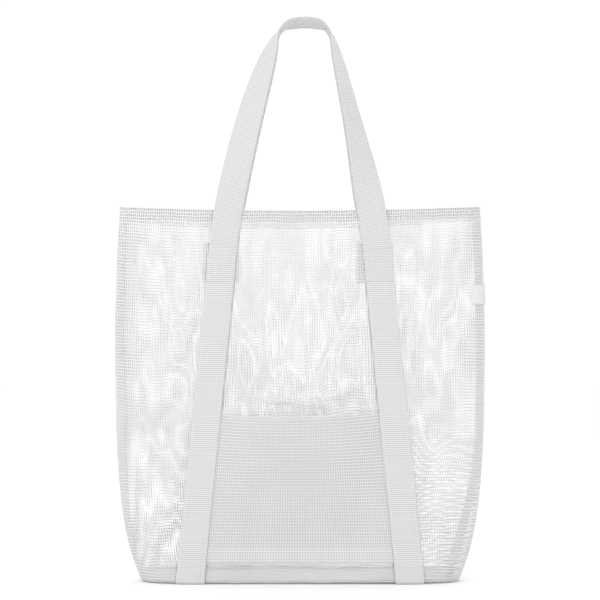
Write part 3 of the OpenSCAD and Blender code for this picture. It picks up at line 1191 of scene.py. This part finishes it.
@dataclass
class Pocket:
    """The open front pocket: doubled mesh folded along its top, with a sewn bottom hem."""

    body: MeshBody
    stitcher: Stitcher
    bottom: float
    top: float
    hem: float = 0.016
    gap: float = 0.008
    tuck: float = 0.008
    near: float = 0.0008
    leaf: float = 0.0008
    dip: float = 0.0045
    row_inset: float = 0.0022
    row_off: float = 0.0004

    @property
    def form(self) -> BagForm:
        """The bag's form."""
        return self.body.form

    def edge(self, z: Array) -> Array:
        """Returns the x at which the pocket's side lies under the strap."""
        return self.body.size.x(z) - self.body.size.width / 2 + self.tuck

    def puff(self, u: Array, z: Array) -> Array:
        """Returns how far the pocket's mouth stands open at u and z."""
        across = u / self.form.u_at(self.edge(z) - self.tuck - 0.001, z)
        rise = smooth((z - 0.070) / (self.top - 0.070))
        return self.gap * np.maximum(0, 1 - across**2) * rise

    def place(self, share: Array, z: Array, off: Array | float) -> Array:
        """Returns points of the pocket at a share across, off its inner face."""
        reach = self.form.u_at(self.edge(z), z)
        u = (2 * share - 1) * reach
        lean = (share - 0.5) * 0.004
        points = self.form.skin(u, z, self.near + self.puff(u, z) + off)
        rise = smooth((z - self.bottom) / (self.top - self.bottom)) ** 2
        points[..., 2] += rise * (lean - self.dip * 4 * share * (1 - share) + self.dip * 0.55)
        return points

    def build(self) -> list[Piece]:
        """Makes the pocket's two layers, its bottom hem and its stitches."""
        knit = self.body.dense
        wide = 2 * float(self.edge((self.bottom + self.top) / 2))
        cols, rows = knit.counts(wide, self.top - self.bottom)

        def outer(across: Array, up: Array) -> Array:
            """Returns the outer layer's points."""
            return self.place(across, self.bottom + (self.top - self.bottom) * up, self.leaf)

        def inner(across: Array, up: Array) -> Array:
            """Returns the inner layer's points, half a hole aside."""
            share = np.clip(across + 0.5 / cols, 0, 1)
            z = self.bottom + (self.top - self.bottom) * np.clip(up - 0.5 / rows, 0, 1)
            return self.place(share, z, 0.0)

        under = ("left_strap_webbing", "right_strap_webbing")
        made = [self._fold(cols)]
        # The inner layer's finish is a darker copy of the cloth: painted shade between the pocket's layers.
        for name, placer, finish, trims in (
            ("pocket_outer_mesh", outer, Look.POCKET, made[:1]),
            ("pocket_inner_mesh", inner, Look.POCKET_INNER, []),
        ):
            piece = knit.cloth(name, cols, rows, placer)
            dress(piece, finish, "mesh_cloth", "pocket_panel")
            self.body.declare(piece, self.top - self.bottom, "hung", under, *trims)
            made.append(piece)
        made.append(self._hem(cols))
        made.append(self._thread())
        return made

    def _fold(self, cols: int) -> Piece:
        """Makes the rounded fold that joins the two layers along the pocket's top."""
        knit = self.body.dense
        radius = self.leaf / 2

        def placer(across: Array, up: Array) -> Array:
            """Returns points over the fold, from the outer layer to the inner."""
            angle = up * math.pi
            off = radius + radius * np.cos(angle)
            points = self.place(across, np.full(np.shape(up), self.top), off)
            points[..., 2] += radius * 1.4 * np.sin(angle)
            return points

        piece = knit.cloth("pocket_top_fold", cols, 1, placer)
        dress(piece, Look.POCKET, "mesh_cloth", "pocket_panel")
        return piece

    def _hem(self, cols: int) -> Piece:
        """Makes the turned-up allowance along the pocket's bottom."""
        knit = self.body.dense
        rows = knit.counts(1, self.hem)[1]

        def placer(across: Array, up: Array) -> Array:
            """Returns the allowance's points, between the pocket's layers."""
            share = np.clip(across - 0.05 / cols, 0, 1)
            return self.place(share, self.bottom + self.hem * up, self.leaf / 2)

        piece = knit.cloth("pocket_hem_fold", cols, rows, placer)
        dress(piece, Look.BINDING, "mesh_cloth", "pocket_bottom_hem")
        self.body.declare(piece, self.hem, "folded", ("pocket_outer_mesh",))
        return piece

    def _thread(self) -> Piece:
        """Makes two rows of stitches along the bottom hem."""
        rows = []
        for z in (self.bottom + self.row_inset, self.bottom + self.hem - self.row_inset):
            level = np.full(200, z)
            limit = float((self.body.size.x(z) - self.body.size.width / 2 - 0.002) / self.edge(z))
            share = np.linspace(0.5 - limit / 2, 0.5 + limit / 2, 200)
            line = self.place(share, level, self.leaf + self.row_off)
            away = self.place(share, level, self.leaf + self.row_off + 0.001)
            rows.append((line, unit(away - line)))
        thread = self.stitcher.sew("pocket_hem_thread", rows)
        dress(thread, Look.THREAD, "thread", "pocket_stitching")
        return thread


@dataclass
class Carrier:
    """The webbing: two straps under the bag, two handles, their patches and stitches."""

    body: MeshBody
    webbing: Webbing
    stitcher: Stitcher
    patch_w: float = 0.037
    patch_shift: float = 0.0025
    edge_inset: float = 0.0026
    lean: float = 0.0055
    box_w: float = 0.0235
    box_inset: tuple[float, float] = (0.001, 0.0015)
    edge_proud: float = 0.00015
    box_proud: float = 0.0003
    hinge_y: float = 0.0362
    bend: tuple[float, float] = (-0.002, 0.007)
    heavy: Stitcher = field(default_factory=lambda: Stitcher(length=0.0029, wide=0.0007))

    @property
    def form(self) -> BagForm:
        """The bag's form."""
        return self.body.form

    @property
    def size(self) -> WebSize:
        """The webbing's sizes."""
        return self.body.size

    def build(self) -> list[Piece]:
        """Makes the straps, handles, patches and stitches."""
        made = []
        for side in Side:
            made += [self._strap(side), self._strap_thread(side)]
            for panel in (self.body.front, self.body.back):
                made += [self._patch(side, panel), self._anchor(side, panel)]
        for face in Face:
            made.append(self._handle(face))
        return made

    def _strap(self, side: Side) -> Piece:
        """Makes one strap, which ends inside each anchor where the handle's webbing starts."""
        route = StrapRoute(self.form, self.size, side)
        name = side.word
        piece = self.webbing.body(f"{name}_strap_webbing", route.at, route.length)
        dress(piece, Look.WEBBING, "webbing", f"{name}_strap")
        return piece

    def _handle(self, face: Face) -> Piece:
        """Makes one handle, sewn to the bag below its hinge line and free above it."""
        node = f"{face.value}_handle"
        low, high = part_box(node)
        arch_y = abs(low[1] if face is Face.BACK else high[1]) + self.size.width / 2
        route = HandleRoute(self.form, self.size, arch_y, high[2], self.lean)

        def at(run: Array, k: Array, t: Array) -> Array:
            """Returns the handle's points, turned to its face of the bag."""
            return route.at(run, k, t) * [1, -face.y_sign, 1]

        piece = self.webbing.body(f"{face.value}_handle_webbing", at, route.length)
        dress(piece, Look.WEBBING, "webbing", node, body=None)
        start, end = (self.size.stitch_z + step for step in self.bend)
        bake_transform(piece)
        return piece

    def _on_strap(self, side: Side, face: Face, z: Array, k: Array, proud: float) -> tuple[Array, Array]:
        """Returns points just proud of a strap's outer face, and the directions out of it."""
        route = StrapRoute(self.form, self.size, side)
        rise = self.size.thick + proud
        line = route.face(z, k, np.full(z.shape, rise))
        away = route.face(z, k, np.full(z.shape, rise + 0.001))
        flip = np.array([1, -face.y_sign, 1])
        return line * flip, unit(away - line) * flip

    def _strap_thread(self, side: Side) -> Piece:
        """Makes the edge stitches up both faces of one strap."""
        rows = []
        z = np.linspace(self.size.bend_z + 0.002, self.size.join_z, 300)
        for face in Face:
            for edge in (-1, 1):
                k = np.full(z.shape, edge * (1 - self.edge_inset / (self.size.width / 2)))
                rows.append(self._on_strap(side, face, z, k, self.edge_proud))
        name = side.word
        thread = self.stitcher.sew(f"{name}_strap_thread", rows)
        dress(thread, Look.THREAD, "thread", f"{name}_strap_stitching")
        return thread

    def _anchor(self, side: Side, panel: Panel) -> Piece:
        """Makes one boxed cross of stitches that sews a handle's end down."""
        low = self.size.patch_low + self.box_inset[0]
        top = self.size.stitch_z - self.box_inset[1]
        half = self.box_w / self.size.width
        corners = [(-half, low), (half, low), (half, top), (-half, top)]
        lines = [(corners[i], corners[(i + 1) % 4]) for i in range(4)]
        lines += [(corners[0], corners[2]), (corners[1], corners[3])]
        rows = []
        for (k0, z0), (k1, z1) in lines:
            t = np.linspace(0.03, 0.97, 40)
            z, k = z0 + (z1 - z0) * t, k0 + (k1 - k0) * t
            rows.append(self._on_strap(side, panel.face, z, k, self.box_proud))
        name = f"{panel.face.value}_{side.word}"
        thread = self.heavy.sew(f"{name}_anchor_thread", rows)
        dress(thread, Look.THREAD, "thread", f"{name}_anchor_stitch")
        return thread

    def _patch(self, side: Side, panel: Panel) -> Piece:
        """Makes the doubled patch inside the cloth, behind one anchor."""
        low, high = self.size.patch_low, self.size.patch_high
        middle = side.value * self.size.x(self.size.stitch_z) - self.patch_shift
        name = f"{panel.face.value}_{side.word}"

        def keep(p: Array, across: Array, up: Array) -> Array:
            """Returns which holes' threads lie in the patch."""
            return (np.abs(p[:, 0] - middle) < self.patch_w / 2) & (p[:, 2] > low) & (p[:, 2] < high)

        piece = self.body.lined(f"{name}_patch_mesh", panel, keep, inner=Look.BINDING)
        dress(piece, None, "mesh_cloth", f"{name}_patch")
        self.body.declare(piece, high - low, "folded", (f"{panel.face.value}_upper_mesh",))
        return piece


@dataclass
class SideLabel:
    """The small blank woven label caught in the right side seam."""

    form: BagForm
    stitcher: Stitcher
    low: float
    high: float
    reach: float = 0.014
    near: float = 0.0012
    thick: float = 0.0005

    def build(self) -> list[Piece]:
        """Makes the label and the two rows of thread at its seam edge."""
        deselect()
        bpy.ops.mesh.primitive_grid_add(x_subdivisions=14, y_subdivisions=12, size=1)
        tab = bpy.context.object
        tab.name = "side_label_tab"
        flat = points_of(tab.data)[:, :2] + 0.5
        move_points(tab.data, self.place(flat[:, 0], flat[:, 1]))
        wall = tab.modifiers.new("thickness", "SOLIDIFY")
        wall.thickness, wall.offset = self.thick, 0
        rounding = tab.modifiers.new("soft_edge", "BEVEL")
        rounding.width, rounding.segments, rounding.limit_method = 0.00012, 2, "ANGLE"
        apply_modifiers(tab)
        face_outwards(tab)
        smooth_all(tab)
        dress(tab, Look.LABEL, "label", "side_label", body=None)
        self.length()
        rows = []
        for share in (0.80, 0.88):
            up = np.linspace(0.04, 0.96, 30)
            line = self.place(np.full(30, share), up)
            out = np.concatenate([self.form.outward(self.u(share), line[:, 2]), np.zeros((30, 1))], axis=1)
            rows.append((line + out * (self.thick / 2 + 0.0001), out))
        thread = self.stitcher.sew("side_label_thread", rows)
        dress(thread, Look.THREAD, "thread", body=None)
        root = self.place(np.array(1.0), np.array(0.5))
        free = self.place(np.array(0.72), np.array(0.5))
        for piece in (tab, thread):
            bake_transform(piece)
        return [tab, thread]

    def u(self, across: Array | float) -> Array | float:
        """Returns the u at a share across the label."""
        middle = (self.low + self.high) / 2
        start = self.form.u_at(self.form.half_width(middle) - self.reach, middle)
        return start + (0.998 - start) * across

    def length(self) -> float:
        """Returns how long the label is, along its curve out of the seam."""
        line = self.place(np.linspace(0, 1, 60), np.full(60, 0.5))
        return float(np.linalg.norm(np.diff(line, axis=0), axis=1).sum())

    def place(self, across: Array, up: Array) -> Array:
        """Returns points of the label at shares across and up."""
        z = self.low + (self.high - self.low) * up
        lift = 0.0004 * np.sin(np.pi * up) * (1 - across)
        return self.form.skin(self.u(across), z, self.near + lift)


@dataclass(frozen=True)
class Studio:
    """A pale floor, soft light from all round and the camera."""

    floor_tint: float = 0.97
    key: float = 8.0
    fill: float = 1.5
    rim: float = 4.0

    def build(self) -> None:
        """Makes the floor, the lights and the camera."""
        self._floor()
        self._world()
        self._light("key", (-1.1, -1.5, 1.6), self.key, 1.6)
        self._light("fill", (1.6, -1.0, 0.9), self.fill, 1.8)
        self._light("rim", (0.4, 1.6, 1.8), self.rim, 1.6)
        self._camera()
        bpy.context.scene.view_settings.view_transform = "Standard"

    def _floor(self) -> None:
        """Makes the plain floor."""
        deselect()
        bpy.ops.mesh.primitive_plane_add(size=12)
        floor = bpy.context.object
        floor.name = "studio_floor"
        pale = bpy.data.materials.new("pale_floor")
        pale.use_nodes = True
        skin = pale.node_tree.nodes["Principled BSDF"]
        skin.inputs["Base Color"].default_value = (self.floor_tint,) * 3 + (1.0,)
        skin.inputs["Roughness"].default_value = 0.9
        skin.inputs["Specular IOR Level"].default_value = 0.1
        floor.data.materials.append(pale)

    def _world(self) -> None:
        """Gives an even white surround."""
        world = bpy.data.worlds.new("soft_surround")
        bpy.context.scene.world = world
        world.use_nodes = True
        shine = world.node_tree.nodes["Background"]
        shine.inputs["Color"].default_value = (1, 1, 1, 1)
        shine.inputs["Strength"].default_value = 1.04

    def _light(self, name: str, place: tuple[float, float, float], power: float, size: float) -> None:
        """Makes one large soft lamp, aimed at the bag's middle."""
        deselect()
        bpy.ops.object.light_add(type="AREA", location=place)
        lamp = bpy.context.object
        lamp.name = f"studio_{name}"
        lamp.data.energy = power
        lamp.data.shape = "DISK"
        lamp.data.size = size
        aim = Vector((0, 0, 0.28)) - Vector(place)
        lamp.rotation_euler = aim.to_track_quat("-Z", "Y").to_euler()

    def _camera(self) -> None:
        """Looks at the bag's front, level with its middle."""
        deselect()
        bpy.ops.object.camera_add(location=(0.0, -2.6, 0.3), rotation=(math.pi / 2, 0, 0))
        camera = bpy.context.object
        camera.name = "studio_camera"
        camera.data.lens = 146
        camera.data.sensor_width = 36
        bpy.context.scene.camera = camera


def main() -> None:
    """Builds the bag's sub-assemblies in order and sets the studio round them."""
    form = BagForm.from_frame()
    size = WebSize.from_frame()
    front = Panel(form, Face.FRONT, sag=0.0052, seed=11)
    back = Panel(form, Face.BACK, sag=0.0092, seed=29, skew=-0.030)
    body = MeshBody(form, size, Knit(), front, back)
    stitcher = Stitcher()
    webbing = Webbing(size)
    pocket_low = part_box("pocket_bottom_hem")[0][2]
    label_low, label_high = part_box("side_label")
    built = {
        "mesh body": list(body.build().values()),
        "straps and handles": Carrier(body, webbing, stitcher).build(),
        "front hem": TopHem(body, front, stitcher).build(),
        "back hem": TopHem(body, back, stitcher).build(),
        "pocket": Pocket(body, stitcher, pocket_low, size.pocket_top).build(),
        "label": SideLabel(form, stitcher, label_low[2], label_high[2]).build(),
    }
    for name, pieces in built.items():
        faces = sum(len(piece.data.polygons) for piece in pieces)
        LOG.info("%s: %d pieces, %d faces", name, len(pieces), faces)
    Studio().build()
    deselect()


if __name__ == "__main__":
    logging.basicConfig(level=logging.INFO, format="%(message)s")
    main()
